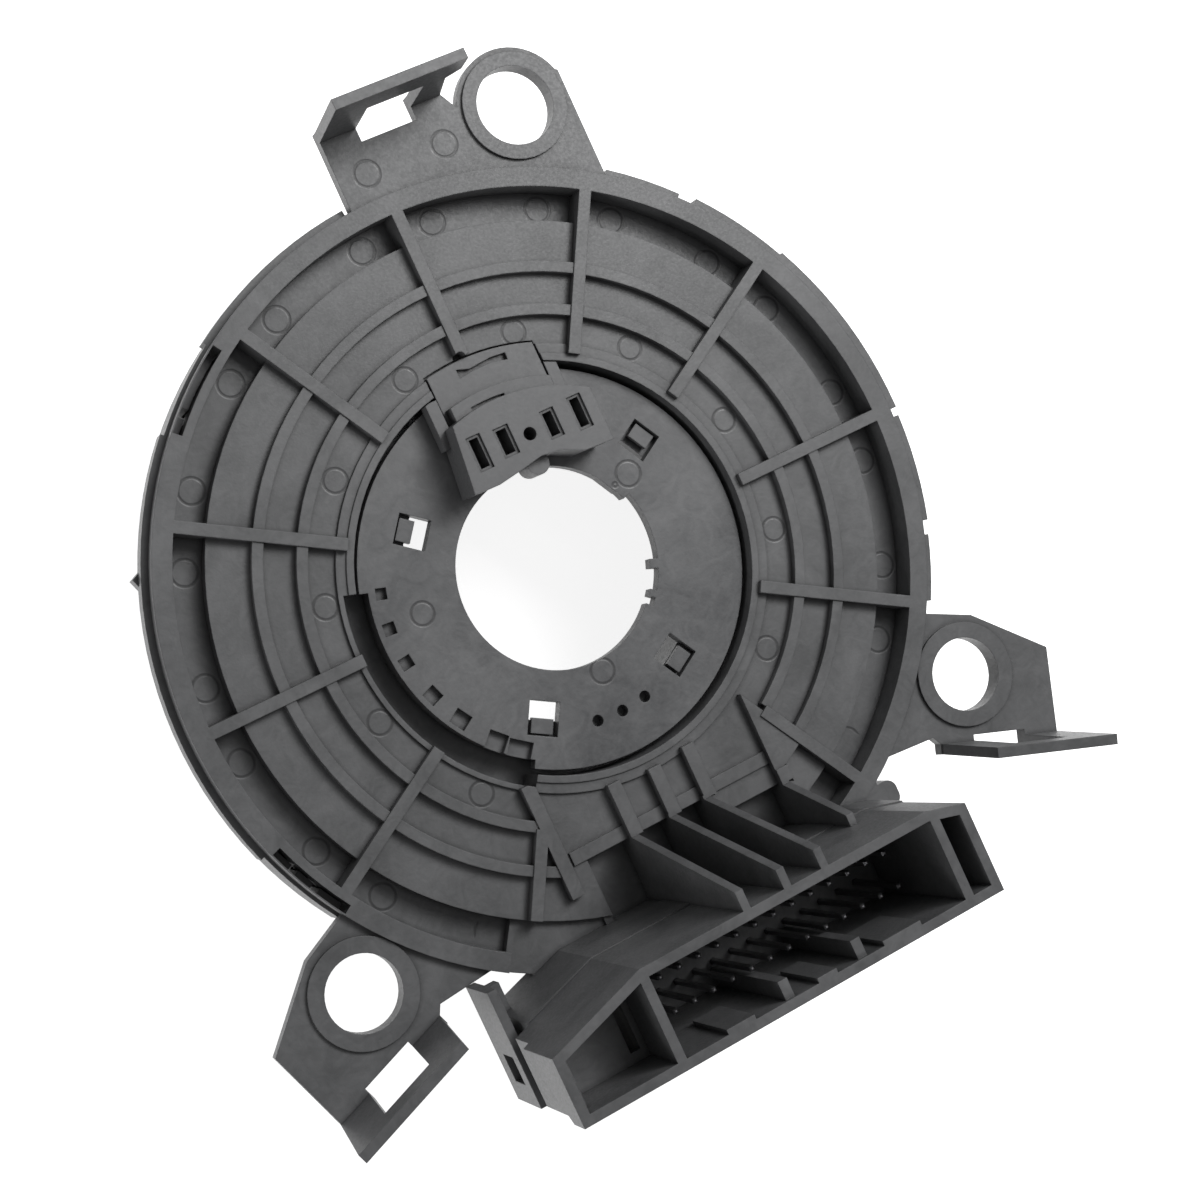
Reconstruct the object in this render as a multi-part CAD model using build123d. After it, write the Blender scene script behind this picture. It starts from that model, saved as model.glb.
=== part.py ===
from build123d import *
from math import atan2, cos, degrees, hypot, radians, sin
import os

os.makedirs("parts", exist_ok=True)

# Steering clock spring. Millimetres. Z is the steering axis, with +Z out of the ribbed column side,
# and -Y runs through the harness connector. Heights here are counted from the top of the rim, and each
# piece is lifted on saving, so that the origin is on the axis in the wheel-side face.

# Fits.
running_gap = 0.4          # between faces that turn past each other
seat_gap = 0.15            # between mouldings that clip together
lead_gap = 0.05            # around a conductor in its carrier
bite = 0.5                 # how far a rib or wall runs into what it grows from

# Column-side cover.
ring_inner_r = 28.3
collar_step_r = 29.3
collar_outer_r = 30.7
collar_top = -0.8
collar_low_top = -1.1
ring_lip_bottom = -7.2
ring_lip_thickness = 1.6
mid_floor = -1.6
gutter_floor = -4.6
cover_wall = 2.0
rim_outer_r = 54.9
rim_wall = 2.7
rim_inner_r = rim_outer_r - rim_wall
gutter_width = 4.4
floor_step_r = rim_inner_r - gutter_width
skirt_bottom = -12.0
skirt_thickness = 1.8
rib_width = 1.7
rib_angles = (0, 30, 60, 90, 120, 150, 180, 210, 330)
short_ribs = ((240, 35.6), (300.8, 35.3))
hoop_r = (35.3, 41.2)
hoop_width = 1.5
hoop_top = -0.25
hoop_start = -58.0
hoop_ends = (241.0, 244.8)
parallel_rib_width = 1.9
parallel_ribs = ((-17.2, -24.6, -41.2), (-6.1, -29.6, -37.6), (0.1, -30.2, -37.6),
                 (5.8, -29.6, -37.6), (17.0, -38.5, -41.0))
ledge_x = (-15.6, 16.0)
ledge_y = (-37.4, -35.5)
ledge_top = -1.2
web_x = 16.0
web_outer_r = 42.3
rim_gap_angles = (-123.5, -105.0)
rim_gap_floor = -2.8
crescent_r = 30.0
crescent_angles = (163.0, 238.0)
flange_z = (-6.0, -2.8)
flange_arcs = ((-29.2, -19.5, 2.0), (-17.4, -1.6, 2.2), (-0.4, 27.5, 2.4), (27.5, 42.3, 2.0),
               (44.9, 56.2, 1.6), (96.2, 123.6, 1.0), (137.4, 198.5, 1.0))     # ends, reach
clip_eyes = ((123.8, 137.2), (198.7, 211.6))
clip_eye_inset = (1.5, 0.2)
clip_bar_reach = 0.5
clip_bar_z = (-9.5, -2.8)
clip_bar_end = 0.6         # degrees
clip_tongues = ((124.3, 132.8), (134.2, 136.7), (199.2, 202.2), (203.4, 206.2), (207.4, 211.1))
clip_tongue_top = -3.6
side_bump_angle = 157.0
side_bump_reach = 1.8
side_bump_half = 2.6
side_bump_z = (-8.0, -5.0)
snap_angles = (20.0, 100.0, 175.0, 325.0)
snap_width = 4.6
snap_z = (-9.4, -6.9)
snap_depth = 1.5

# Mounting ears.
ear_top = -1.0
ear_thickness = 2.0
boss_raise = 0.5
boss_r = 7.5
low_ear_bore_r = 5.25
low_ear_hole = (48.75, -39.15)
low_ear_outline = ((45.5, -28.0), (53.6, -32.0), (62.6, -41.3), (58.6, -52.9), (40.9, -46.5),
                   (40.2, -45.2), (31.0, -44.4), (30.0, -42.0))
top_ear_bore_r = 5.5
top_ear_hole = (22.1, 59.6)
top_ear_tip_r = 8.2
top_ear_side_x = 30.2
top_ear_outline = ((-5.5, 52.5), (-5.4, 64.7), (13.0, 64.7), (14.4, 62.2), (21.3, 67.5),
                   (30.2, 62.0), (30.2, 44.6), (14.0, 48.0))

# Snap straps on the ears. Heights on a strap are counted from the ear's face.
strap_thickness = 1.5
strap_lean = 3.9           # degrees
strap_root = 0.8
strap_height = 13.3
low_strap = ((58.6, -52.9), (40.9, -46.5))
low_strap_slant = -1.9
low_bar_height = 10.0
low_window = (5.6, 13.8)
low_window_reach = 0.8
top_strap = ((-5.4, 64.7), (13.0, 64.7))
top_strap_bar = (-0.3, 19.2)
top_bar_height = 8.0
top_strap_leg = (17.2, 7.6)
top_strap_corner = 9.3
top_window = (5.4, 13.8)
top_window_reach = 1.9

# Harness connector.
mouth_z = 30.0
mouth_back_y = -46.9
mouth_front_y = -60.8
mouth_left_x = -36.8
mouth_right_x = 26.3
mouth_left_corner_y = -51.4
mouth_left_bend_x = -22.3
mouth_right_bend_x = 20.8
mouth_right_corner_y = -48.4
shroud_wall = 1.35
shroud_foot = -6.2
bay_floor = 6.0
bay_floor_thickness = 2.0
divider_x = (-22.2, 21.5)
divider_wall = 1.3
side_bay_floors = (20.0, 22.0)
side_slots = (((-24.4, -53.9), (1.4, 8.4)), ((23.3, -54.2), (0.9, 8.0)))
left_liner = 0.8
wedge_depth = 0.9
wedge_line = ((-61.0, 26.0), (-51.5, 18.0))
parting_z = 11.4
parting_step = 0.2
foot_cut_x = -33.6
foot_cut_top = 12.0
key_blocks = ((-13.4, 4.1), (-0.5, 2.9), (11.0, 5.8))
key_block_depth = 2.0
key_ribs = (-6.0, 5.0)
key_rib_depth = 3.9
key_rib_drop = 0.6
key_height = 12.0
gusset_width = 1.1
gusset_foot_y = -37.4
gusset_head_y = -44.3
gussets = ((-6.5, gusset_foot_y, gusset_head_y, mouth_z), (-0.4, gusset_foot_y, gusset_head_y, mouth_z),
           (5.2, gusset_foot_y, gusset_head_y, mouth_z), (16.6, -40.8, -45.3, 16.5))
pocket_x = (-13.6, 17.8)
pocket_y = (-46.9, -37.4)
pocket_floor = -5.0
pocket_wall = 1.2
pocket_right_y = -40.6
pocket_split_x = 6.4
side_clip_x = -36.0
side_clip_y = (-61.6, -45.0)
side_clip_z = (-2.0, 8.6)
side_clip_wall = 1.3
side_clip_eye = ((-58.5, -54.5), (1.5, 6.0))
side_clip_webs = (((-50.2, -46.0), 0.6), ((-60.0, -52.0), 0.4))
right_lug_x = (24.5, 32.2)
right_lug_y = (-51.3, -47.4)
right_lug_z = (-4.6, -1.6)
right_lug_round = 1.5
right_nib_x = (28.8, 29.6)
right_nib_y = (-47.6, -44.0)

# Harness pins.
pin_pitch = 2.9
pin_count = 13
pin_side = 0.64
pin_point = 0.2
pin_tip_z = 20.0
inner_row_y = -51.4
outer_row_y = -56.2
inner_leg_z = -1.2
outer_leg_z = -2.8
leg_end_y = -49.8
carrier_half_x = 20.0
carrier_y = (-59.0, -49.0)
carrier_z = (-4.2, 3.8)
lid_overlap = 1.2
lid_thickness = 1.6
lid_y = (-60.6, -55.0)
lid_plug_y = (-58.8, -55.4)
lid_wall_x = 17.0
lid_wall_foot = -20.4
lid_wing_y = -51.6

# Drum and cable space.
drum_fit_gap = 0.3
drum_outer_r = rim_outer_r - skirt_thickness - drum_fit_gap
drum_wall = 1.8
drum_bottom = -23.0
drum_lip_reach = 5.8
drum_lip_r = drum_outer_r - drum_lip_reach
drum_lip_thickness = 2.1
drum_sill = 2.0
cable_top = -8.0
cable_width = 9.8
cable_thickness = 0.35
sheet_lip_gap = 2.1
sheet_inner_r = ring_inner_r + ring_lip_thickness + sheet_lip_gap
cable_inner_gap = 1.0
cable_inner_r = sheet_inner_r + cable_inner_gap
cable_outer_gap = 1.8
cable_outer_r = drum_outer_r - drum_wall - cable_outer_gap
cable_turns = 6.25
cable_knots_per_turn = 12
cable_start_angle = 90.0
sheet_thickness = 0.3
sheet_gap = 0.05
sheet_edge_gap = 0.5
outer_end_half_x = 13.6
outer_end_y = (-54.8, -50.3)
lead_strip_count = 8
lead_strip_pitch = 2.6
lead_strip = (1.0, 0.3)
lead_strip_back = 1.7

# Turning side.
disc_top = -2.6
disc_thickness = 2.0
disc_outer_r = 27.5
hub_hole_r = 14.0
hub_relief_r = 15.05
hub_relief_angles = (-45.0, 18.6)
hub_teeth = ((-22.0, 1.3, 13.85), (-38.4, 1.0, 14.1))
hub_tab = ((9.9, 11.8), (10.75, 9.1), (12.65, 5.75), (14.3, 4.7), (17.0, 9.0), (14.6, 12.3), (11.3, 12.7))
disc_skirt_r = (24.4, 26.0)
disc_flange_r = 30.8
disc_flange_thickness = 1.4
window_width = 4.3
windows = ((142.0, 18.2, 22.7), (30.0, 19.7, 24.0), (-59.8, 18.6, 23.2), (-120.4, 18.2, 23.0))
crescent_disc_r = 26.3
rim_pockets = ((163.8, 23.8, 25.3, 1.6), (175.0, 23.8, 25.5, 1.7), (186.7, 23.7, 25.5, 1.7),
               (199.9, 23.5, 25.5, 2.1), (211.6, 23.5, 25.7, 2.4), (225.0, 23.8, 26.5, 2.8),
               (232.8, 24.0, 26.5, 3.4))
rim_pocket_depth = 1.1
vent_angles = (-99.5, -89.4, -79.4)
vent_r = 21.7
vent_hole_r = 0.8
sleeve_inner_r = 22.4
sleeve_outer_r = 24.0
window_gap = 0.3
hook_ledge_r = 20.9
hook_thickness = 1.5
hook_side_gap = 0.6
hook_barb = 0.6
hook_barb_height = 0.9
hook_foot = 2.2
hook_top = -3.1
plate_top = -18.9
plate_thickness = 1.7
plate_outer_gap = 1.4
plate_outer_r = drum_outer_r - drum_wall - plate_outer_gap
guide_ring_gap = 0.5
guide_ring_thickness = 1.7
wheel_plate_top = -22.5
wheel_plate_thickness = 1.7
wheel_face = -34.0
wheel_outer_gap = 0.6
wheel_outer_r = drum_lip_r - wheel_outer_gap
wheel_plate_inner_r = 23.2
wheel_collar_r = (27.0, 28.7)

# Wheel-side sockets and conductors.
switch_socket = (0.0, 36.5)
switch_socket_size = (27.0, 11.0)
switch_cols = 8
switch_pitch = 2.54
switch_row_gap = 3.2
socket_wall = 1.2
airbag_angles = (205.0, 335.0)
airbag_r = 36.0
airbag_socket_r = 6.6
airbag_insert_wall = 1.0
airbag_insert_inset = 0.5
airbag_pin_gap = 2.6
airbag_pin_r = 0.5
insert_slot = (1.3, 2.4)
insert_floor = 1.2
shorting_bar_x = 1.2
shorting_bar_y = (1.2, 3.8)
shorting_bar_thickness = 0.4
shorting_bar_drop = (4.0, 0.6)
wheel_pin_tip = -29.4
wheel_pin_root = 0.4
lead_frame_thickness = 1.4
lead_frame_gap = 0.6
lead_frame_r = 30.5
lead_frame_angles = (-30.0, 210.0)
switch_pad_r = 43.5
switch_pad_angles = (60.0, 120.0)
airbag_pad_r = 5.6
airbag_arm_width = 8.0
inner_end_inner_r = 24.2
inner_end_gap = 0.8
inner_end_r = (inner_end_inner_r, sheet_inner_r - inner_end_gap)
inner_end_half_angle = 17.0
inner_end_drop = 2.5
wheel_strip_count = 5
wheel_strip_rise = 4.0
wheel_strip_half = 0.2
lead_slot_length = 15.0
lead_slot_margin = 1.5

# Block over the hub.
block_front = ((-8.1, 13.5), (-4.4, 13.4), (-1.1, 13.9), (2.6, 14.6), (5.5, 14.2), (8.7, 12.8), (12.9, 12.6))
block_sides = (12.9, -6.6)
block_back_r = 24.0
block_top = 4.6
block_foot = -1.9
block_room_x = (-5.5, 11.2)
block_room_y = (16.4, 21.4)
block_skin = 0.9
block_step_r = 25.9
block_step_top = 1.4
block_step_x = (-5.2, 9.6)
step_groove_r = (24.0, 24.5)
step_groove_angles = (84.0, 96.0)
step_groove_depth = 0.9
tongue_x = (-5.7, 10.1)
tongue_r = 30.9
tongue_top = -1.1
tongue_thickness = 2.0
side_wing_x = (10.4, 12.1)
arm_x = (-8.0, -6.3)
arm_y = (20.5, 27.2)
arm_top = 0.6
groove = ((-1.46, 29.9), (-1.42, 28.6), (0.9, 28.9), (3.6, 28.9), (5.9, 28.4), (5.95, 29.4),
          (3.7, 29.6), (0.4, 29.3))
groove_depth = 0.8
notch_eye = (-0.4, 31.2, 0.7)
notch_eye_floor = -3.0
slot_frames = ((-6.1, -4.0, 15.9, 20.8), (-2.2, 0.1, 16.2, 20.4), (4.8, 6.9, 15.9, 20.0),
               (9.1, 11.2, 15.4, 20.2))
slot_frame_depth = 0.4
slot_rim = 0.4
slot_depth = 4.2
block_hole = (2.4, 17.9, 0.9)
stub = (2.4, 13.9, 1.6)
stub_drop = 2.0


def polygon(points, low, high):
    """A straight-sided block between two heights."""
    return Pos(0, 0, low) * extrude(make_face(Polyline(*points, close=True)), high - low)


def ring(inner, outer, low, high):
    """A round ring between two radii and two heights."""
    tall = high - low
    body = Pos(0, 0, low + tall / 2) * Cylinder(outer, tall)
    return body - Pos(0, 0, low + tall / 2) * Cylinder(inner, tall + 2)


def block(x, y, z):
    """A box given by its limits along each axis."""
    size = (x[1] - x[0], y[1] - y[0], z[1] - z[0])
    return Pos((x[0] + x[1]) / 2, (y[0] + y[1]) / 2, (z[0] + z[1]) / 2) * Box(*size)


def disc(x, y, radius, low, high):
    """A round post between two heights."""
    return Pos(x, y, (low + high) / 2) * Cylinder(radius, high - low)


def at(radius, angle):
    """The point at a radius and an angle in degrees."""
    return radius * cos(radians(angle)), radius * sin(radians(angle))


def sector(start, end, radius, low, high):
    """A wedge from the axis out past a radius, used to keep or cut part of a ring."""
    steps = max(2, int((end - start) / 20) + 1)
    points = [(0, 0)] + [at(radius * 1.3, start + (end - start) * i / steps) for i in range(steps + 1)]
    return polygon(points, low, high)


def arc_wall(inner, outer, start, end, low, high):
    """Part of a round ring between two angles."""
    return ring(inner, outer, low, high) & sector(start, end, outer, low - 1, high + 1)


def radial_bar(angle, inner, outer, width, low, high):
    """A straight bar along a radius."""
    return Rot(0, 0, angle) * block((inner, outer), (-width / 2, width / 2), (low, high))


def revolved(points):
    """A body of revolution from a closed outline of radius and height."""
    outline = Polyline(*[(r, 0, z) for r, z in points], close=True)
    return revolve(make_face(outline), Axis.Z, 360)


def side_plate(points, x, width):
    """A flat plate across X from its outline in Y and height."""
    face = make_face(Polyline(*[(x - width / 2, y, z) for y, z in points], close=True))
    return extrude(face, width, dir=(1, 0, 0))


def save(name, shape):
    """Write one node, as one solid or as a group of separate solids."""
    solids = shape if isinstance(shape, list) else shape.solids()
    lifted = [Pos(0, 0, -wheel_face) * one for one in solids]
    export_step(lifted[0] if len(lifted) == 1 else Compound(children=lifted), f"parts/{name}.step")


def strap(line, front, window):
    """An upright snap strap on a line, leaning outwards, from its front view."""
    (x0, y0), (x1, y1) = line
    place = Pos(x0, y0, ear_top) * Rot(0, 0, degrees(atan2(y1 - y0, x1 - x0)))
    face = make_face(Polyline(*[(x, 0, z) for x, z in front], close=True))
    wall = Rot(-strap_lean, 0, 0) * extrude(face, strap_thickness, dir=(0, 1, 0))
    wall += block((0, hypot(x1 - x0, y1 - y0)), (-strap_root, strap_thickness), (-ear_thickness, 0))
    points, reach = window
    cut = make_face(Polyline(*[(x, -reach, z) for x, z in points], close=True))
    return place * wall, place * extrude(cut, reach + 3 * strap_thickness, dir=(0, 1, 0))


def ear(outline, hole, bore_r, strap_parts, tip=None):
    """A mounting ear with its boss, strap and bore."""
    foot = ear_top - ear_thickness
    shape = polygon(outline, foot, ear_top) + disc(*hole, boss_r, foot - boss_raise, ear_top + boss_raise)
    if tip:
        shape += tip
    wall, cut = strap_parts
    shape += wall
    shape -= cut
    return shape - disc(*hole, bore_r, foot - boss_raise - 1, ear_top + boss_raise + 1)


# Column-side cover: one moulding with its ribs, ears and connector shroud.
under_floor = gutter_floor - cover_wall
cover = revolved([
    (ring_inner_r, collar_top), (collar_step_r, collar_top), (collar_step_r, collar_low_top),
    (collar_outer_r, collar_low_top), (collar_outer_r, mid_floor),
    (floor_step_r, mid_floor), (floor_step_r, gutter_floor), (rim_inner_r, gutter_floor),
    (rim_inner_r, 0), (rim_outer_r, 0), (rim_outer_r, skirt_bottom),
    (rim_outer_r - skirt_thickness, skirt_bottom), (rim_outer_r - skirt_thickness, under_floor),
    (floor_step_r - cover_wall, under_floor), (floor_step_r - cover_wall, mid_floor - cover_wall),
    (ring_inner_r + ring_lip_thickness, mid_floor - cover_wall),
    (ring_inner_r + ring_lip_thickness, ring_lip_bottom), (ring_inner_r, ring_lip_bottom)])

for angle, inner in [(angle, collar_step_r) for angle in rib_angles] + list(short_ribs):
    cover += radial_bar(angle, inner, rim_inner_r + bite, rib_width, mid_floor - bite, 0)
    cover += radial_bar(angle, floor_step_r - bite, rim_inner_r + bite, rib_width, gutter_floor - bite, 0)
for radius, end in zip(hoop_r, hoop_ends):
    cover += arc_wall(radius - hoop_width / 2, radius + hoop_width / 2, hoop_start, end,
                      mid_floor - bite, hoop_top)
for x, inner_y, outer_y in parallel_ribs:
    cover += block((x - parallel_rib_width / 2, x + parallel_rib_width / 2), (outer_y, inner_y),
                   (mid_floor - bite, 0))
cover += block(ledge_x, ledge_y, (mid_floor - bite, ledge_top))
web = arc_wall(collar_outer_r - bite, web_outer_r, -80, short_ribs[1][0] - 360, mid_floor - bite, hoop_top)
cover += web & block((web_x, web_outer_r), (-web_outer_r, 0), (mid_floor - 1, 1))
cover -= arc_wall(floor_step_r, rim_outer_r + 1, *rim_gap_angles, rim_gap_floor, 1)
cover += arc_wall(floor_step_r - bite, rim_outer_r, *rim_gap_angles, under_floor, rim_gap_floor)

for start, end, reach in flange_arcs:
    cover += arc_wall(rim_outer_r - bite, rim_outer_r + reach, start, end, *flange_z)
clip_eye_r = [rim_outer_r - inset for inset in clip_eye_inset]
clip_bar_r = rim_outer_r + clip_bar_reach
for start, end in clip_eyes:
    cover += arc_wall(rim_outer_r - bite, clip_bar_r, start - clip_bar_end, end + clip_bar_end, *clip_bar_z)
    cover -= arc_wall(*clip_eye_r, start, end, under_floor - 1, 1)
    cover -= arc_wall(rim_outer_r - skirt_thickness - bite, clip_eye_r[1], start, end,
                      skirt_bottom - 1, under_floor)
    cover -= arc_wall(rim_outer_r - skirt_thickness - bite, rim_outer_r + bite, start, end,
                      skirt_bottom - 1, clip_bar_z[0])
bump = [(rim_outer_r - bite, -side_bump_half), (rim_outer_r + side_bump_reach, 0),
        (rim_outer_r - bite, side_bump_half)]
cover += Rot(0, 0, side_bump_angle) * polygon(bump, *side_bump_z)
for angle in snap_angles:
    cover -= radial_bar(angle, rim_outer_r - skirt_thickness - bite, rim_outer_r + bite,
                        snap_width + 2 * seat_gap, snap_z[0] - seat_gap, snap_z[1] + seat_gap)

low_length = hypot(low_strap[1][0] - low_strap[0][0], low_strap[1][1] - low_strap[0][1])
low_bar_shift = low_strap_slant * low_bar_height / strap_height
low_front = [(0, -strap_root), (low_strap_slant, strap_height), (low_length + low_strap_slant, strap_height),
             (low_length, -strap_root)]
low_cut = [(low_window[0], -ear_thickness - 1), (low_window[1], -ear_thickness - 1),
           (low_window[1] + low_bar_shift, low_bar_height), (low_window[0] + low_bar_shift, low_bar_height)]
low_ear = ear(low_ear_outline, low_ear_hole, low_ear_bore_r,
              strap(low_strap, low_front, (low_cut, low_window_reach)))
top_length = top_strap[1][0] - top_strap[0][0]
top_front = [(0, -strap_root), (top_strap_bar[0], strap_height), (top_strap_bar[1], strap_height),
             (top_strap_bar[1], top_strap_corner), top_strap_leg, (top_length, -strap_root)]
top_cut = [(top_window[0], -ear_thickness - 1), (top_window[1], -ear_thickness - 1),
           (top_window[1], top_bar_height), (top_window[0], top_bar_height)]
ear_foot = ear_top - ear_thickness
tip = disc(*top_ear_hole, top_ear_tip_r, ear_foot, ear_top)
tip &= block((0, top_ear_side_x), (0, 80), (ear_foot - 1, ear_top + 1))
top_ear = ear(top_ear_outline, top_ear_hole, top_ear_bore_r,
              strap(top_strap, top_front, (top_cut, top_window_reach)), tip)
inside_rim = disc(0, 0, rim_inner_r + bite, ear_foot - 2, mouth_z)
for shape in (low_ear, low_ear.mirror(Plane.YZ), top_ear):
    cover += shape - inside_rim

mouth_outline = [(mouth_left_x, mouth_front_y), (mouth_left_x, mouth_left_corner_y),
                 (mouth_left_bend_x, mouth_back_y), (mouth_right_bend_x, mouth_back_y),
                 (mouth_right_x, mouth_right_corner_y), (mouth_right_x, mouth_front_y)]
outer_face = make_face(Polyline(*mouth_outline, close=True))
inner_face = offset(outer_face, -shroud_wall, kind=Kind.INTERSECTION)
low_face = offset(outer_face, parting_step, kind=Kind.INTERSECTION)
shroud_body = Pos(0, 0, shroud_foot) * extrude(outer_face, mouth_z - shroud_foot)
shroud_body += Pos(0, 0, shroud_foot) * extrude(low_face, parting_z - shroud_foot)
shroud = shroud_body - Pos(0, 0, bay_floor) * extrude(inner_face, mouth_z - bay_floor + 1)
shroud -= Pos(0, 0, shroud_foot - 1) * extrude(inner_face, bay_floor - bay_floor_thickness - shroud_foot + 1)
depth_y = (mouth_front_y, mouth_back_y)
fittings = block((mouth_left_x, divider_x[0]), depth_y,
                 (side_bay_floors[0] - bay_floor_thickness, side_bay_floors[0]))
fittings += block((divider_x[1], mouth_right_x), depth_y,
                  (side_bay_floors[1] - bay_floor_thickness, side_bay_floors[1]))
fittings += block((mouth_left_x, mouth_left_x + shroud_wall + left_liner), depth_y,
                  (foot_cut_top - 1, wedge_line[0][1] + 1))
for x in divider_x:
    fittings += block((x - divider_wall / 2, x + divider_wall / 2), depth_y, (shroud_foot, mouth_z))
for centre, width in key_blocks:
    fittings += block((centre - width / 2, centre + width / 2),
                      (mouth_front_y, mouth_front_y + key_block_depth), (mouth_z - key_height, mouth_z))
for x in key_ribs:
    fittings += block((x - shroud_wall / 2, x + shroud_wall / 2),
                      (mouth_front_y, mouth_front_y + key_rib_depth), (bay_floor - 1, mouth_z - key_rib_drop))
shroud += fittings & shroud_body
for ((x, y), (wide, long)), floor in zip(side_slots, side_bay_floors):
    shroud -= block((x - wide / 2, x + wide / 2), (y - long / 2, y + long / 2),
                    (floor - bay_floor_thickness - 1, floor + 1))
shroud -= block((mouth_left_x - 1, foot_cut_x), (mouth_front_y - 1, mouth_back_y),
                (shroud_foot - 1, foot_cut_top))
(front_y, front_z), (rear_y, rear_z) = wedge_line
fall = (front_z - rear_z) / (rear_y - front_y)
wedge = [(front_y - 1, foot_cut_top - 1), (front_y - 1, front_z + fall), (rear_y + 1, rear_z - fall),
         (rear_y + 1, foot_cut_top - 1)]
shroud -= side_plate(wedge, mouth_left_x, 2 * wedge_depth)

slab = block((pocket_x[0] - pocket_wall, pocket_x[1] + pocket_wall), (pocket_y[0], pocket_y[1] + pocket_wall),
             (under_floor, mid_floor - bite))
cover += slab - (shroud_body + disc(0, 0, ring_inner_r, -20, 20))
cover -= disc(0, 0, rim_inner_r + 4, under_floor, 5) & shroud_body
cover += shroud
pocket = block((pocket_x[0], pocket_split_x), pocket_y, (pocket_floor, 1))
pocket += block((pocket_split_x, pocket_x[1]), (pocket_y[0], pocket_right_y), (pocket_floor, 1))
cover -= pocket
for x, foot_y, head_y, head_z in gussets:
    cover += side_plate([(foot_y + bite, pocket_floor - bite), (foot_y + bite, 0), (foot_y, 0),
                         (head_y, head_z), (mouth_back_y - bite, head_z),
                         (mouth_back_y - bite, pocket_floor - bite)], x, gusset_width)

clip_x = (side_clip_x, side_clip_x + side_clip_wall)
clip = block(clip_x, side_clip_y, side_clip_z)
clip -= block((clip_x[0] - 1, clip_x[1] + 1), *side_clip_eye)
for web_y, web_top in side_clip_webs:
    clip += block((clip_x[0], foot_cut_x + shroud_wall), web_y, (side_clip_z[0], web_top))
cover += clip
lug = block(right_lug_x, right_lug_y, right_lug_z)
lug_edges = lug.edges().filter_by(Axis.Z).sort_by(Axis.X)[-2:]
cover += fillet(lug_edges, right_lug_round)
cover += block(right_nib_x, right_nib_y, right_lug_z)

cavity_x = (-carrier_half_x - seat_gap, carrier_half_x + seat_gap)
cavity_y = (carrier_y[0] - seat_gap, carrier_y[1] + seat_gap)
cover -= block(cavity_x, cavity_y, (skirt_bottom - 1, bay_floor - bay_floor_thickness))
tongue_foot = tongue_top - tongue_thickness
notch = ring(ring_inner_r - 1, tongue_r + 2 * seat_gap, tongue_foot - seat_gap, 1)
cover -= notch & block((tongue_x[0] - 2 * seat_gap, tongue_x[1] + 2 * seat_gap), (0, tongue_r + 1), (-10, 2))
cover -= disc(*notch_eye, notch_eye_floor, 1)
cover -= arc_wall(ring_inner_r - 1, crescent_r, *crescent_angles, ring_lip_bottom - 1, 1)
pin_xs = [(i - (pin_count - 1) / 2) * pin_pitch for i in range(pin_count)]
half = pin_side / 2
hole = half + lead_gap
for x in pin_xs:
    for y in (inner_row_y, outer_row_y):
        cover -= block((x - hole, x + hole), (y - hole, y + hole),
                       (bay_floor - bay_floor_thickness - 1, bay_floor + 1))
save("ribbed_cover", cover)

# Harness pins: two rows of square bent pins in a moulded carrier, and the lid under them.
rows = {"inner_pin_row": (inner_row_y, inner_leg_z), "outer_pin_row": (outer_row_y, outer_leg_z)}
carrier = block((-carrier_half_x, carrier_half_x), carrier_y, carrier_z)
for name, (y, leg_z) in rows.items():
    pins = []
    for x in pin_xs:
        pin = block((x - half, x + half), (y - half, y + half), (leg_z - half, pin_tip_z))
        pin += block((x - half, x + half), (y - half, leg_end_y), (leg_z - half, leg_z + half))
        pins.append(chamfer(pin.faces().sort_by(Axis.Z)[-1].edges(), pin_point).solids()[0])
        carrier -= block((x - hole, x + hole), (y - hole, y + hole), (leg_z - hole, carrier_z[1] + 1))
        carrier -= block((x - hole, x + hole), (y - hole, leg_end_y + lead_gap), (leg_z - hole, leg_z + hole))
    save(name, pins)
save("pin_carrier", carrier)
lid_x = carrier_half_x + lid_overlap
lid_top = shroud_foot - seat_gap
lid = block((-lid_x, lid_x), lid_y, (lid_top - lid_thickness, lid_top))
lid += block((-carrier_half_x, carrier_half_x), lid_plug_y, (lid_top - bite, carrier_z[0] - seat_gap))
lid += block((-lid_wall_x, lid_wall_x), (lid_y[1] - lid_thickness, lid_y[1]), (lid_wall_foot, lid_top))
for x in (-lid_wall_x, lid_wall_x - lid_thickness):
    lid += block((x, x + lid_thickness), (lid_y[1] - bite, lid_wing_y),
                 (lid_wall_foot, skirt_bottom - seat_gap))
lid -= disc(0, 0, drum_outer_r + seat_gap, drum_bottom, lid_top + 1)
save("connector_lid", lid)

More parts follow.
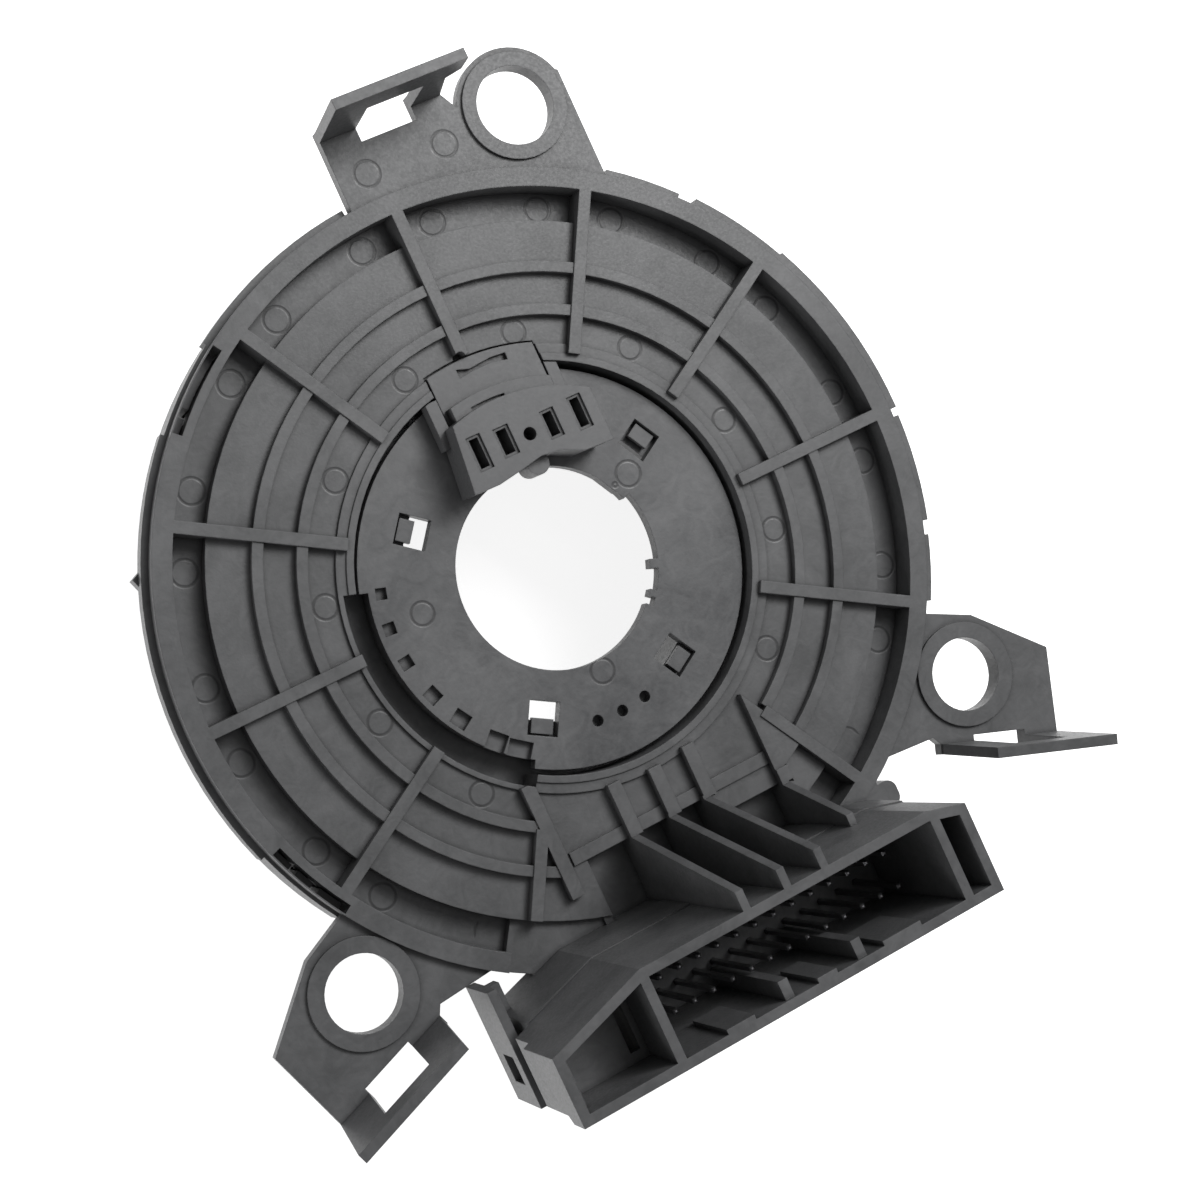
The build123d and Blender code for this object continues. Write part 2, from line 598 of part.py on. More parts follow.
# Drum: the wheel-side half of the fixed shell, with barbs that snap into the cover's skirt.
drum_top = under_floor - seat_gap
drum_inner_r = drum_outer_r - drum_wall
window_foot = drum_bottom + drum_lip_thickness + drum_sill
drum = ring(drum_inner_r, drum_outer_r, drum_bottom, drum_top)
drum += ring(drum_lip_r, drum_outer_r, drum_bottom, drum_bottom + drum_lip_thickness)
end_x = outer_end_half_x + seat_gap
drum -= block((-end_x, end_x), (-60, -45), (window_foot, drum_top + 1))
finger_r = (clip_eye_r[0] + seat_gap, clip_eye_r[1] - seat_gap)
for start, end in clip_tongues:
    drum += arc_wall(drum_outer_r - bite, finger_r[1], start, end, skirt_bottom, clip_bar_z[0] - seat_gap)
    drum += arc_wall(*finger_r, start, end, skirt_bottom, clip_tongue_top)
for angle in snap_angles:
    side = [(drum_outer_r - bite, snap_z[1]), (drum_outer_r + snap_depth, snap_z[0] + bite),
            (drum_outer_r + snap_depth, snap_z[0]), (drum_outer_r - bite, snap_z[0])]
    barb = make_face(Polyline(*[(r, -snap_width / 2, z) for r, z in side], close=True))
    drum += Rot(0, 0, angle) * extrude(barb, snap_width, dir=(0, 1, 0))
save("drum", drum)

# Cable space: slip sheets, spiral flat cable and its fixed end.
sheet_top = under_floor - sheet_gap
sheet_foot = plate_top + sheet_gap
column_sheet_r = drum_inner_r - running_gap - sheet_edge_gap
save("column_slip_sheet", ring(sheet_inner_r, column_sheet_r, sheet_top - sheet_thickness, sheet_top))
save("wheel_slip_sheet", ring(sheet_inner_r, plate_outer_r - sheet_edge_gap,
                              sheet_foot, sheet_foot + sheet_thickness))


def spiral_point(share, shift):
    """A point on the cable's winding, counted from its inner end."""
    radius = cable_inner_r + (cable_outer_r - cable_inner_r) * share + shift
    return at(radius, cable_start_angle - 360 * cable_turns * share)


knots = int(cable_turns * cable_knots_per_turn)
inner_side = [spiral_point(i / knots, 0) for i in range(knots + 1)]
outer_side = [spiral_point(i / knots, cable_thickness) for i in range(knots + 1)]
winding = [Spline(*inner_side), Line(inner_side[-1], outer_side[-1]),
           Spline(*reversed(outer_side)), Line(outer_side[0], inner_side[0])]
cable_face = make_face(Curve() + winding)
save("flat_cable", Pos(0, 0, cable_top - cable_width) * extrude(cable_face, cable_width))

outer_end = block((-outer_end_half_x, outer_end_half_x), outer_end_y, (window_foot + seat_gap, drum_top))
strip_half = lead_strip[0] / 2
strip_y = (leg_end_y - lead_strip_back - lead_strip[1], leg_end_y - lead_strip_back)
strip_z = (cable_top - cable_width / 2, carrier_z[0])
strips = []
for i in range(lead_strip_count):
    x = (i - (lead_strip_count - 1) / 2) * lead_strip_pitch
    strips += block((x - strip_half, x + strip_half), strip_y, strip_z).solids()
    outer_end -= block((x - strip_half - lead_gap, x + strip_half + lead_gap),
                       (strip_y[0] - lead_gap, strip_y[1] + lead_gap), (strip_z[0] - lead_gap, drum_top + 1))
save("outer_cable_end", outer_end)
save("link_strips", strips)

# Rear disc of the turning side.
disc_bottom = disc_top - disc_thickness
disc_foot = ring_lip_bottom - running_gap - disc_flange_thickness
rear = ring(hub_hole_r, disc_outer_r, disc_bottom, disc_top)
rear += ring(disc_skirt_r[0], disc_skirt_r[1], disc_foot, disc_bottom)
rear += ring(disc_skirt_r[0], disc_flange_r, disc_foot, disc_foot + disc_flange_thickness)
rear -= arc_wall(crescent_disc_r, disc_outer_r + 1, *crescent_angles, disc_bottom - bite, disc_top + 1)
for angle, inner, outer, wide in rim_pockets:
    rear -= radial_bar(angle, inner, outer, wide, disc_top - rim_pocket_depth, disc_top + 1)
for angle, inner, outer in windows:
    rear -= radial_bar(angle, inner, outer, window_width, disc_bottom - 1, disc_top + 1)
for angle in vent_angles:
    rear -= disc(*at(vent_r, angle), vent_hole_r, disc_bottom - 1, disc_top + 1)
rear -= arc_wall(hub_hole_r - 1, hub_relief_r, *hub_relief_angles, disc_bottom - 1, disc_top + 1)
for angle, wide, inner in hub_teeth:
    rear += radial_bar(angle, inner, hub_relief_r + bite, wide, disc_bottom, disc_top)
rear += polygon(hub_tab, disc_bottom, disc_top)
save("rear_disc", rear)

# Wheel-side rotor: sleeve with its hooks, plate and guide ring in one moulding.
plate_z = (plate_top - plate_thickness, plate_top)
rotor = ring(sleeve_inner_r, sleeve_outer_r, wheel_plate_top, disc_bottom)
rotor += ring(sleeve_inner_r, plate_outer_r, *plate_z)
guide_outer_r = drum_lip_r - guide_ring_gap
rotor += ring(guide_outer_r - guide_ring_thickness, guide_outer_r, wheel_plate_top, plate_top - bite)
rotor += ring(hook_ledge_r, sleeve_inner_r + bite, disc_bottom - hook_foot, disc_bottom)
hook_width = window_width - 2 * hook_side_gap
for angle, inner, outer in windows:
    hook_outer = outer - window_gap
    hook_inner = hook_outer - hook_thickness
    rotor += radial_bar(angle, hook_inner, hook_outer, hook_width, disc_bottom - bite, hook_top)
    rotor += radial_bar(angle, hook_inner - hook_barb, hook_outer, hook_width,
                        hook_top - hook_barb_height, hook_top)
lead_slot = (inner_end_r[0] + lead_slot_margin, inner_end_r[1] - lead_slot_margin)
rotor -= radial_bar(90, *lead_slot, lead_slot_length, plate_z[0] - 1, plate_top + 1)
save("front_rotor", rotor)

# The cable's turning end, the lead frame and the wheel-side cover.
inner_end = arc_wall(*inner_end_r, 90 - inner_end_half_angle, 90 + inner_end_half_angle,
                     plate_top, cable_top - inner_end_drop)
row_y = (inner_end_r[0] + inner_end_r[1]) / 2
wheel_strips = []
for i in range(wheel_strip_count):
    x = (i - (wheel_strip_count - 1) / 2) * lead_strip_pitch
    wheel_strips += block((x - strip_half, x + strip_half),
                          (row_y - wheel_strip_half, row_y + wheel_strip_half),
                          (plate_z[0], plate_top + wheel_strip_rise)).solids()
    around = wheel_strip_half + lead_gap
    inner_end -= block((x - strip_half - lead_gap, x + strip_half + lead_gap),
                       (row_y - around, row_y + around),
                       (plate_top - 1, plate_top + wheel_strip_rise + lead_gap))
save("inner_cable_end", inner_end)
save("wheel_link_strips", wheel_strips)

frame_z = (plate_z[0] - lead_frame_thickness, plate_z[0])
frame_inner_r = sleeve_outer_r + lead_frame_gap
frame = arc_wall(frame_inner_r, switch_pad_r, *switch_pad_angles, *frame_z)
frame += arc_wall(frame_inner_r, lead_frame_r, *lead_frame_angles, *frame_z)
for angle in airbag_angles:
    frame += disc(*at(airbag_r, angle), airbag_pad_r, *frame_z)
    frame += radial_bar(angle, frame_inner_r + bite, airbag_r, airbag_arm_width, *frame_z)
plate_low = wheel_plate_top - wheel_plate_thickness
wheel_cover = ring(wheel_plate_inner_r, wheel_outer_r, plate_low, wheel_plate_top)
wheel_cover += ring(*wheel_collar_r, wheel_face, wheel_plate_top - bite)
sx, sy = switch_socket
sw, sh = switch_socket_size
wheel_cover += block((sx - sw / 2, sx + sw / 2), (sy - sh / 2, sy + sh / 2),
                     (wheel_face, wheel_plate_top - bite))
wheel_cover -= block((sx - sw / 2 + socket_wall, sx + sw / 2 - socket_wall),
                     (sy - sh / 2 + socket_wall, sy + sh / 2 - socket_wall), (wheel_face - 1, plate_low))
airbag_centres = [at(airbag_r, angle) for angle in airbag_angles]
for cx, cy in airbag_centres:
    wheel_cover += disc(cx, cy, airbag_socket_r + socket_wall, wheel_face, wheel_plate_top - bite)
    wheel_cover -= disc(cx, cy, airbag_socket_r, wheel_face - 1, plate_low)
pin_z = (wheel_pin_tip, plate_z[0] - wheel_pin_root)
switch_pins, airbag_pins = [], []
for i in range(switch_cols):
    x = (i - (switch_cols - 1) / 2) * switch_pitch
    for y in (sy - switch_row_gap / 2, sy + switch_row_gap / 2):
        switch_pins += block((x - half, x + half), (y - half, y + half), pin_z).solids()
        way = block((x - hole, x + hole), (y - hole, y + hole), (plate_low - 1, pin_z[1] + lead_gap))
        frame -= way
        wheel_cover -= way
for cx, cy in airbag_centres:
    for x in (cx - airbag_pin_gap / 2, cx + airbag_pin_gap / 2):
        airbag_pins += disc(x, cy, airbag_pin_r, *pin_z).solids()
        way = disc(x, cy, airbag_pin_r + lead_gap, plate_low - 1, pin_z[1] + lead_gap)
        frame -= way
        wheel_cover -= way
save("lead_frame", frame)
save("switch_pins", switch_pins)
save("airbag_pins", airbag_pins)
save("wheel_cover", wheel_cover)

for name, (cx, cy) in zip(("left", "right"), airbag_centres):
    outer = airbag_socket_r - seat_gap
    insert = disc(cx, cy, outer, wheel_face + airbag_insert_inset, plate_low)
    insert -= disc(cx, cy, outer - airbag_insert_wall, wheel_face - 1, plate_low - insert_floor)
    for x in (cx - airbag_pin_gap / 2, cx + airbag_pin_gap / 2):
        insert -= disc(x, cy, airbag_pin_r + lead_gap, plate_low - insert_floor - 1, plate_low + 1)
    insert -= block((cx - insert_slot[0], cx + insert_slot[0]), (cy + insert_slot[1], cy + outer + 1),
                    (wheel_face, plate_low - insert_floor / 2))
    save(f"{name}_airbag_insert", insert)
    bar_x = (cx - shorting_bar_x, cx + shorting_bar_x)
    bar_z = (plate_low - shorting_bar_drop[0], plate_low - shorting_bar_drop[1])
    bar = block(bar_x, (cy + shorting_bar_y[1] - shorting_bar_thickness, cy + shorting_bar_y[1]), bar_z)
    bar += block(bar_x, (cy + shorting_bar_y[0], cy + shorting_bar_y[1]),
                 (bar_z[0], bar_z[0] + shorting_bar_thickness))
    save(f"{name}_shorting_clip", bar)

# Block over the hub: clipped by its tongue into a notch of the ring.
back_x, left_x = block_sides
body = polygon([*block_front, (back_x, block_back_r + 2), (left_x, block_back_r + 2)], block_foot, block_top)
body &= disc(0, 0, block_back_r, block_foot - 1, block_top + 1)
body -= block(block_room_x, block_room_y, (block_foot - 1, block_top - slot_depth - block_skin))
step = block(block_step_x, (block_room_y[1], tongue_r), (tongue_top - bite, block_step_top))
body += step & disc(0, 0, block_step_r, tongue_foot, block_top)
tongue = block(tongue_x, (block_room_y[1], tongue_r + 1), (tongue_foot, tongue_top))
tongue &= disc(0, 0, tongue_r, tongue_foot - 1, tongue_top + 1)
body += tongue - disc(0, 0, ring_inner_r, tongue_foot - 1, block_foot)
within_ring = disc(0, 0, ring_inner_r - seat_gap, block_foot, block_top)
body += block(arm_x, arm_y, (block_foot, arm_top)) & within_ring
body += block(side_wing_x, (block_room_y[1], tongue_r), (block_foot, tongue_top)) & within_ring
body -= arc_wall(*step_groove_r, *step_groove_angles, block_step_top - step_groove_depth, block_step_top + 1)
body -= polygon(groove, tongue_top - groove_depth, tongue_top + 1)
for x0, x1, y0, y1 in slot_frames:
    body -= block((x0, x1), (y0, y1), (block_top - slot_frame_depth, block_top + 1))
    body -= block((x0 + slot_rim, x1 - slot_rim), (y0 + slot_rim, y1 - slot_rim),
                  (block_top - slot_depth, block_top + 1))
body -= disc(*block_hole, block_top - slot_depth, block_top + 1)
body += disc(*stub, block_foot, block_top - stub_drop)
save("hub_block", body)
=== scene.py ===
import math

import bpy
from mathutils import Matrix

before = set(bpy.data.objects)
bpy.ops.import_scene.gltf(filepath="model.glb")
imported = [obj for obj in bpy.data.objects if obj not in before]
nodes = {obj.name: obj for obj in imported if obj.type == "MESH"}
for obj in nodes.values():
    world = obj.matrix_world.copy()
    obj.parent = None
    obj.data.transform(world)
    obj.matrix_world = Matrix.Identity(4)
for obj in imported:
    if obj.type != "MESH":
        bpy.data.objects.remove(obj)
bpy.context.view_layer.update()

# Drum and connector lid. The real pieces are injection-moulded in black glass-filled nylon.
# The drum is the wheel-side half of the fixed shell and snaps into the cover's skirt, and the
# lid clips under the connector. Their satin face has a fine grain and cloudy flow marks.


def add(tree, kind, values=(), **settings):
    """Add a node, set its properties, then link or set its inputs in order."""
    node = tree.nodes.new(kind)
    for key, value in settings.items():
        setattr(node, key, value)
    for key, value in dict(values).items():
        if isinstance(value, bpy.types.NodeSocket):
            tree.links.new(value, node.inputs[key])
        else:
            node.inputs[key].default_value = value
    return node


def calc(tree, operation, first, second=0.0, third=0.0):
    """A Math node's result."""
    node = add(tree, "ShaderNodeMath", {0: first, 1: second, 2: third}, operation=operation)
    return node.outputs[0]


def ramp(tree, value, start, end, low=0.0, high=1.0):
    """A value that goes from low to high while the given one goes from start to end."""
    node = add(tree, "ShaderNodeMapRange", {"Value": value, "From Min": start, "From Max": end,
                                            "To Min": low, "To Max": high})
    return node.outputs[0]


def noise(tree, place, scale, detail=2.0, roughness=0.5, distortion=0.0):
    """A noise value from about 0 to 1."""
    node = add(tree, "ShaderNodeTexNoise", {"Vector": place, "Scale": scale, "Detail": detail,
                                            "Roughness": roughness, "Distortion": distortion})
    return node.outputs[0]


def place_on(tree):
    """The place on the piece, in its own coordinates."""
    return add(tree, "ShaderNodeTexCoord").outputs["Object"]


def effect(name, inputs, outputs):
    """An empty shader node group with its named sockets."""
    group = bpy.data.node_groups.new(name, "ShaderNodeTree")
    for label, value in inputs:
        socket = group.interface.new_socket(label, in_out="INPUT", socket_type="NodeSocketFloat")
        socket.default_value = value
    for label, kind in outputs:
        group.interface.new_socket(label, in_out="OUTPUT", socket_type=kind)
    return group, group.nodes.new("NodeGroupInput").outputs, group.nodes.new("NodeGroupOutput")


# The grain of a spark-eroded tool, with the slow clouds that glass fibre leaves in the surface.
grain, given, result = effect(
    "moulded_grain",
    (("Grain Size", 0.0004), ("Cloud Size", 0.009), ("Streak", 0.5)),
    (("Height", "NodeSocketFloat"), ("Cloud", "NodeSocketFloat"), ("Speck", "NodeSocketFloat")))
swirls_to_a_cloud = 3.1
place = place_on(grain)
fine = noise(grain, place, calc(grain, "DIVIDE", 1.0, given["Grain Size"]), 3.0, 0.6)
broad = noise(grain, place, calc(grain, "DIVIDE", 1.0, given["Cloud Size"]), 4.0, 0.55, 0.6)
swirl = noise(grain, place, calc(grain, "DIVIDE", swirls_to_a_cloud, given["Cloud Size"]),
              distortion=2.5)
mixed = calc(grain, "MULTIPLY_ADD", swirl, given["Streak"], broad)
grain.links.new(fine, result.inputs["Height"])
grain.links.new(ramp(grain, mixed, 0.5, 1.0), result.inputs["Cloud"])
grain.links.new(ramp(grain, fine, 0.35, 0.65), result.inputs["Speck"])

# The small radius on every moulded edge, with a painted highlight that lightens it, and painted
# shade that darkens inner corners. The turn is the cosine between the flat and the rounded face,
# and open is the share of free room.
edges, given, result = effect(
    "moulded_edges_and_painted_shade",
    (("Radius", 0.0002), ("Reach", 0.0008)),
    (("Normal", "NodeSocketVector"), ("Painted Edge Highlight", "NodeSocketFloat"), ("Painted Corner Shade", "NodeSocketFloat")))
flat_turn, sharp_turn = 0.995, 0.85
free_open, deep_open = 0.95, 0.45
rounded = add(edges, "ShaderNodeBevel", {"Radius": given["Radius"]}, samples=2).outputs[0]
flat = add(edges, "ShaderNodeNewGeometry").outputs["Normal"]
turned = add(edges, "ShaderNodeVectorMath", {0: rounded, 1: flat},
             operation="DOT_PRODUCT").outputs["Value"]
# Painted shade: places with little free room around them are darkened.
near = add(edges, "ShaderNodeAmbientOcclusion", {"Distance": given["Reach"]}, samples=2,
           only_local=True).outputs["AO"]
edges.links.new(rounded, result.inputs["Normal"])
edges.links.new(ramp(edges, turned, flat_turn, sharp_turn), result.inputs["Painted Edge Highlight"])
edges.links.new(ramp(edges, near, free_open, deep_open), result.inputs["Painted Corner Shade"])


def new_material(name):
    """An empty node material with its shader."""
    material = bpy.data.materials.new(name)
    material.use_nodes = True
    tree = material.node_tree
    tree.nodes.clear()
    shader = add(tree, "ShaderNodeBsdfPrincipled")
    add(tree, "ShaderNodeOutputMaterial", {"Surface": shader.outputs[0]})
    return material, tree, shader


def mix_colour(tree, share, first, second):
    """A colour between two colours."""
    node = add(tree, "ShaderNodeMix", {0: share, 6: first, 7: second}, data_type="RGBA")
    return node.outputs[2]


def moulded(name, colours, roughness, depth, sizes, mark=None):
    """A moulded plastic: plain, pale and dark colour, gloss, depth and sizes of its grain."""
    edge_highlight_share, painted_shade_share, mark_share, grain_share = 0.5, 0.75, 0.7, 0.5
    colour, pale, dark = [(*part, 1) for part in colours]
    material, tree, shader = new_material(name)
    skin = add(tree, "ShaderNodeGroup", node_tree=grain)
    skin.inputs["Grain Size"].default_value, skin.inputs["Cloud Size"].default_value = sizes
    rim = add(tree, "ShaderNodeGroup", node_tree=edges)
    tone = mix_colour(tree, skin.outputs["Cloud"], colour, pale)
    # Painted highlight: the rounded edges are lightened towards the pale colour.
    edge = calc(tree, "MULTIPLY", rim.outputs["Painted Edge Highlight"], edge_highlight_share)
    tone = mix_colour(tree, edge, tone, pale)
    # Painted shade: inner corners are darkened towards the dark colour.
    painted_corner_shade = calc(tree, "MULTIPLY", rim.outputs["Painted Corner Shade"], painted_shade_share)
    tone = mix_colour(tree, painted_corner_shade, tone, dark)
    height = calc(tree, "MULTIPLY", skin.outputs["Height"], grain_share)
    if mark:
        line = mark(tree)
        tone = mix_colour(tree, calc(tree, "MULTIPLY", line, mark_share), tone, dark)
        height = calc(tree, "SUBTRACT", height, line)
    tree.links.new(tone, shader.inputs["Base Color"])
    gloss = ramp(tree, skin.outputs["Speck"], 0.0, 1.0, roughness - 0.05, roughness + 0.07)
    tree.links.new(gloss, shader.inputs["Roughness"])
    bump = add(tree, "ShaderNodeBump", {"Height": height, "Distance": depth, "Strength": 1.0,
                                        "Normal": rim.outputs["Normal"]})
    tree.links.new(bump.outputs[0], shader.inputs["Normal"])
    return material


def paint(material, *names):
    """Give CAD nodes one material."""
    for name in names:
        mesh = nodes[name].data
        mesh.materials.clear()
        mesh.materials.append(material)


# The dark colour is the painted shade of inner corners, and also the colour of moulded marks.
shade = (0.016, 0.016, 0.017)
shell_colours = ((0.062, 0.063, 0.065), (0.11, 0.111, 0.114), shade)
shell_roughness, shell_depth, shell_sizes = 0.42, 0.00003, (0.0004, 0.009)
shell_nylon = moulded("shell_nylon", shell_colours, shell_roughness, shell_depth, shell_sizes)
paint(shell_nylon, "drum", "connector_lid")

# Wheel-side rotor and rear disc. The real pieces are black acetal, which slides well on the nylon
# shell. The rotor's sleeve snaps through the disc's four windows, and both turn with the wheel.
# Their face is a little smoother, and the disc shows round marks where ejector pins stood.

mark_width = 0.00028
mark_depth = 0.0003


def apart(tree, first, second):
    """How far two values lie apart."""
    return calc(tree, "ABSOLUTE", calc(tree, "SUBTRACT", first, second))


def span(tree, across, along):
    """The length of a line that goes so far across and so far along."""
    return calc(tree, "SQRT", calc(tree, "ADD", calc(tree, "MULTIPLY", across, across),
                                   calc(tree, "MULTIPLY", along, along)))


def ring_line(tree, away, radius, width):
    """A soft round line at a radius, from how far a place lies from its centre."""
    return ramp(tree, calc(tree, "DIVIDE", apart(tree, away, radius), width), 1.0, 0.3)


ring_mark, given, result = effect(
    "round_mark",
    (("Centre X", 0.0), ("Centre Y", 0.0), ("Radius", 0.0018), ("Line", mark_width),
     ("Face Height", 0.0)),
    (("Line", "NodeSocketFloat"),))
place = add(ring_mark, "ShaderNodeSeparateXYZ", {0: place_on(ring_mark)}).outputs
away = span(ring_mark, calc(ring_mark, "SUBTRACT", place[0], given["Centre X"]),
            calc(ring_mark, "SUBTRACT", place[1], given["Centre Y"]))
soft = ring_line(ring_mark, away, given["Radius"], given["Line"])
level = calc(ring_mark, "LESS_THAN", apart(ring_mark, place[2], given["Face Height"]), mark_depth)
ring_mark.links.new(calc(ring_mark, "MULTIPLY", soft, level), result.inputs["Line"])


def round_marks(height, places):
    """A builder of round marks on one face, at places given by centre and radius."""
    def build(tree):
        total = None
        for x, y, radius in places:
            mark = add(tree, "ShaderNodeGroup", {"Centre X": x, "Centre Y": y, "Radius": radius,
                                                 "Face Height": height}, node_tree=ring_mark)
            line = mark.outputs[0]
            total = line if total is None else calc(tree, "MAXIMUM", total, line)
        return total
    return build


disc_face = 0.0314
disc_marks = round_marks(disc_face, ((0.0154, 0.0073, 0.0018), (0.0, -0.0156, 0.0017),
                                     (0.01297, 0.0067, 0.0003), (-0.0196, 0.0021, 0.0016)))
acetal_colours = ((0.058, 0.059, 0.062), (0.12, 0.121, 0.124), shade)
acetal_roughness, acetal_sizes = 0.38, (0.0005, 0.012)
disc_acetal = moulded("disc_acetal", acetal_colours, acetal_roughness, 0.000025, acetal_sizes,
                      disc_marks)
rotor_acetal = moulded("rotor_acetal", acetal_colours, acetal_roughness, 0.00002, acetal_sizes)
paint(disc_acetal, "rear_disc")
paint(rotor_acetal, "front_rotor")

# Ribbed cover. The real piece is one large moulding of black glass-filled nylon, with the ribs,
# the ears and their straps, and the harness connector. Ejector pins have left round marks in the
# gutter beside every rib, between the ribs by the collar, and on the top ear.

rib_step = 30.0
connector_side, connector_reach = -90.0, 38.0
ear_face, ear_marks = 0.033, ((-0.00125, 0.05855, 0.0018), (0.01049, 0.05839, 0.0018))
gutter_mark = (0.05, 6.2, 0.0018, 0.0294)
collar_mark = (0.0325, rib_step / 2, 0.00165, 0.0324)


def ejector_marks(tree):
    """Marks that repeat with the ribs, each by its place out from the axis, its angle from the
    rib in degrees, its radius and its face's height. Those under the connector are left out."""
    x, y, z = add(tree, "ShaderNodeSeparateXYZ", {0: place_on(tree)}).outputs
    turn = calc(tree, "MULTIPLY", calc(tree, "ARCTAN2", y, x), 180 / math.pi)
    whole = calc(tree, "MODULO", calc(tree, "ADD", turn, 360.0 + rib_step / 2), rib_step)
    fold = apart(tree, whole, rib_step / 2)
    out = span(tree, x, y)
    clear = calc(tree, "GREATER_THAN", apart(tree, turn, connector_side), connector_reach)
    total = round_marks(ear_face, ear_marks)(tree)
    for radius, angle, size, height in (gutter_mark, collar_mark):
        lean = calc(tree, "MULTIPLY", calc(tree, "SUBTRACT", fold, angle), math.pi / 180)
        inward = calc(tree, "SUBTRACT", calc(tree, "MULTIPLY", out, calc(tree, "COSINE", lean)),
                      radius)
        sideways = calc(tree, "MULTIPLY", out, calc(tree, "SINE", lean))
        line = ring_line(tree, span(tree, inward, sideways), size, mark_width)
        level = calc(tree, "LESS_THAN", apart(tree, z, height), mark_depth)
        shown = calc(tree, "MULTIPLY", line, calc(tree, "MULTIPLY", level, clear))
        total = calc(tree, "MAXIMUM", total, shown)
    return total


cover_nylon = moulded("cover_nylon", shell_colours, shell_roughness, shell_depth, shell_sizes,
                      ejector_marks)
paint(cover_nylon, "ribbed_cover")

# Block over the hub. The real piece is a small black acetal housing with four slots, which clips
# into a notch of the ring by its tongue and stands over the turning disc.

block_colours = ((0.08, 0.081, 0.084), (0.105, 0.106, 0.109), shade)
block_acetal = moulded("block_acetal", block_colours, 0.4, 0.00002, (0.0005, 0.006))
paint(block_acetal, "hub_block")

# Carriers of the conductors. The real pieces are mouldings of uncoloured nylon, milky and slightly
# warm, that hold the bent pins and the two ends of the flat cable. They are out of sight in use.

carrier_colours = ((0.62, 0.58, 0.48), (0.7, 0.67, 0.58), (0.3, 0.27, 0.2))
carrier_nylon = moulded("carrier_nylon", carrier_colours, 0.45, 0.00002, (0.0004, 0.005))
paint(carrier_nylon, "pin_carrier", "outer_cable_end", "inner_cable_end", "lead_frame")

# Pins and conductors. The real ones are stamped from brass sheet and plated with bright tin, with
# fine rolling lines along them. The harness pins are bent and pressed into their carrier.


def tinned(name, colour):
    """Tin plating with rolling lines and dull spots."""
    lines_across, lines_along, dull_share, line_depth = 9000.0, 250.0, 0.8, 0.000006
    material, tree, shader = new_material(name)
    place = place_on(tree)
    drawn = add(tree, "ShaderNodeMapping", {"Vector": place, "Scale": (
        lines_across, lines_across, lines_along)}).outputs[0]
    lines = noise(tree, drawn, 1.0)
    spots = noise(tree, place, 900.0, 3.0)
    tone = mix_colour(tree, spots, (*colour, 1), (*(dull_share * part for part in colour), 1))
    tree.links.new(tone, shader.inputs["Base Color"])
    shader.inputs["Metallic"].default_value = 1.0
    tree.links.new(ramp(tree, spots, 0.0, 1.0, 0.22, 0.42), shader.inputs["Roughness"])
    bump = add(tree, "ShaderNodeBump", {"Height": lines, "Distance": line_depth})
    tree.links.new(bump.outputs[0], shader.inputs["Normal"])
    return material


# The harness pins take a darker copy of the tin, as painted shade of the connector's mouth where
# they stand.
shaded_harness_tin = tinned("shaded_harness_tin", (0.28, 0.28, 0.29))
wheel_tin = tinned("wheel_tin", (0.68, 0.67, 0.64))
paint(shaded_harness_tin, "inner_pin_row", "outer_pin_row")
paint(wheel_tin, "link_strips", "wheel_link_strips", "switch_pins", "airbag_pins",
      "left_shorting_clip", "right_shorting_clip")

# Flat cable and its slip sheets. The real cable is flat copper between two amber polyester films,
# wound in a loose spiral that tightens and opens as the wheel turns. The sheets are thin white
# films that keep it from rubbing on the shell.

track_pitch = 0.0012
copper_edge, film_edge = 0.3, 0.36
copper_colour, film_colour = (0.5, 0.2, 0.06, 1), (0.62, 0.38, 0.12, 1)
cable_film, tree, shader = new_material("cable_film")
place = add(tree, "ShaderNodeSeparateXYZ", {0: place_on(tree)}).outputs
bands = calc(tree, "FRACT", calc(tree, "MULTIPLY", place[2], 1 / track_pitch))
film_share = ramp(tree, apart(tree, bands, 0.5), copper_edge, film_edge)
tree.links.new(mix_colour(tree, film_share, copper_colour, film_colour),
               shader.inputs["Base Color"])
shader.inputs["Roughness"].default_value = 0.25
shader.inputs["Coat Weight"].default_value = 0.4
paint(cable_film, "flat_cable")

sheet_colours = ((0.78, 0.8, 0.82), (0.85, 0.86, 0.88), (0.5, 0.5, 0.52))
slip_film = moulded("slip_film", sheet_colours, 0.35, 0.00001, (0.0008, 0.02))
paint(slip_film, "column_slip_sheet", "wheel_slip_sheet")

# Wheel-side cover and igniter sockets. The real cover is black glass-filled nylon, clipped over
# the rotor's plate. A yellow insert in each igniter socket carries the safety clip.

paint(shell_nylon, "wheel_cover")
insert_colours = ((0.8, 0.5, 0.03), (0.86, 0.58, 0.06), (0.4, 0.22, 0.01))
insert_yellow = moulded("insert_yellow", insert_colours, 0.38, 0.00002, (0.0004, 0.006))
paint(insert_yellow, "left_airbag_insert", "right_airbag_insert")

# Floor, light and camera. The white floor stays white in the picture and in reflections, and lies
# just under the part, so that the two don't share a plane. Two soft lamps stand at the upper right,
# and a low wide one at the left.

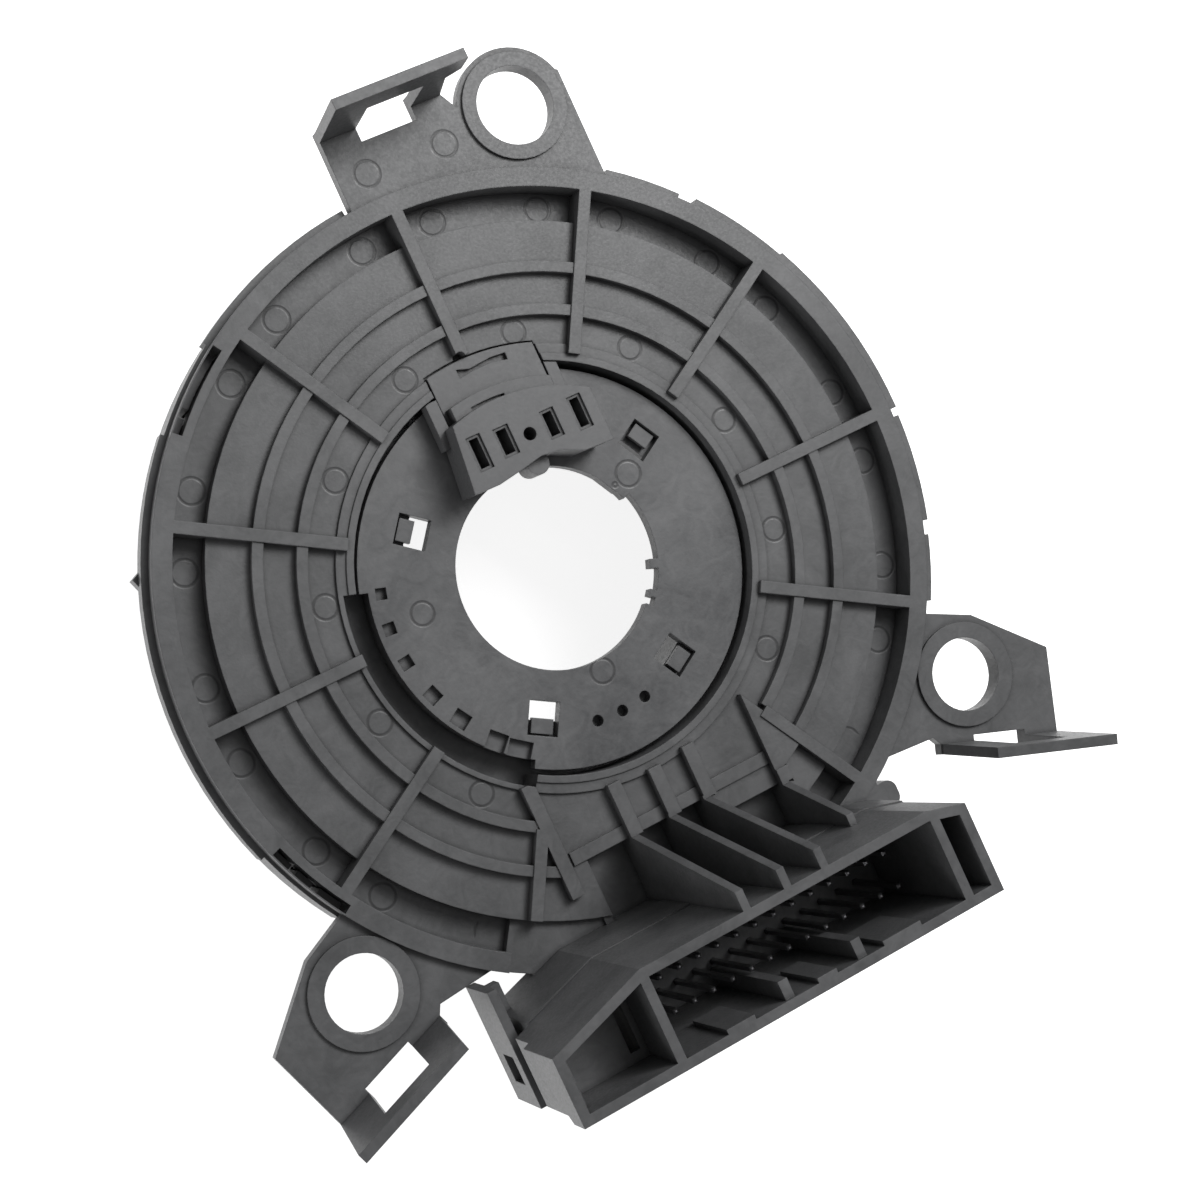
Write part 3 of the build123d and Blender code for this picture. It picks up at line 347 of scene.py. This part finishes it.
floor_size, floor_drop, floor_glow = 60, 0.0002, 0.86
bpy.ops.mesh.primitive_plane_add(size=floor_size, location=(0, 0, -floor_drop))
floor = bpy.context.object
floor.name = "floor"
floor_paint, tree, shader = new_material("floor_paint")
speckle = noise(tree, place_on(tree), 30.0)
tree.links.new(mix_colour(tree, speckle, (0.86, 0.86, 0.86, 1), (0.9, 0.9, 0.9, 1)),
               shader.inputs["Base Color"])
shader.inputs["Roughness"].default_value = 0.8
path = add(tree, "ShaderNodeLightPath").outputs
seen = calc(tree, "MAXIMUM", path["Is Camera Ray"],
            calc(tree, "MAXIMUM", path["Is Glossy Ray"], path["Is Transmission Ray"]))
shader.inputs["Emission Color"].default_value = (1, 1, 1, 1)
tree.links.new(calc(tree, "MULTIPLY", seen, floor_glow), shader.inputs["Emission Strength"])
floor.data.materials.append(floor_paint)

world = bpy.data.worlds.new("studio")
bpy.context.scene.world = world
world.use_nodes = True
sky = world.node_tree.nodes["Background"].inputs
sky["Color"].default_value = (1, 1, 1, 1)
sky["Strength"].default_value = 0.3


def lamp(name, place, aim, size, energy):
    """A square soft lamp turned to a point."""
    data = bpy.data.lights.new(name, "AREA")
    data.size, data.energy = size, energy
    thing = bpy.data.objects.new(name, data)
    bpy.context.scene.collection.objects.link(thing)
    run = [a - b for a, b in zip(aim, place)]
    thing.location = place
    thing.rotation_euler = (math.atan2(math.hypot(run[0], run[1]), -run[2]), 0,
                            math.atan2(run[1], run[0]) - math.pi / 2)


lamp("right_key", (0.52, 0.26, 0.7), (0.02, 0.03, 0.03), 0.3, 3.6)
lamp("top_sheen", (0.2, 0.17, 0.46), (0.01, 0.05, 0.03), 0.24, 1.0)
lamp("left_fill", (-0.85, -0.35, 0.14), (-0.03, -0.05, 0.03), 0.4, 3.0)

camera_data = bpy.data.cameras.new("camera")
camera_data.sensor_width = 36
camera_data.lens = 70.078
camera_data.clip_start = 0.01
camera = bpy.data.objects.new("camera", camera_data)
bpy.context.scene.collection.objects.link(camera)
camera.location = (-0.097938, 0.01461, 0.334355)
camera.rotation_euler = [math.radians(turn) for turn in (4.61797, -18.41153, -26.1496)]
bpy.context.scene.camera = camera
bpy.context.scene.view_settings.view_transform = "Standard"
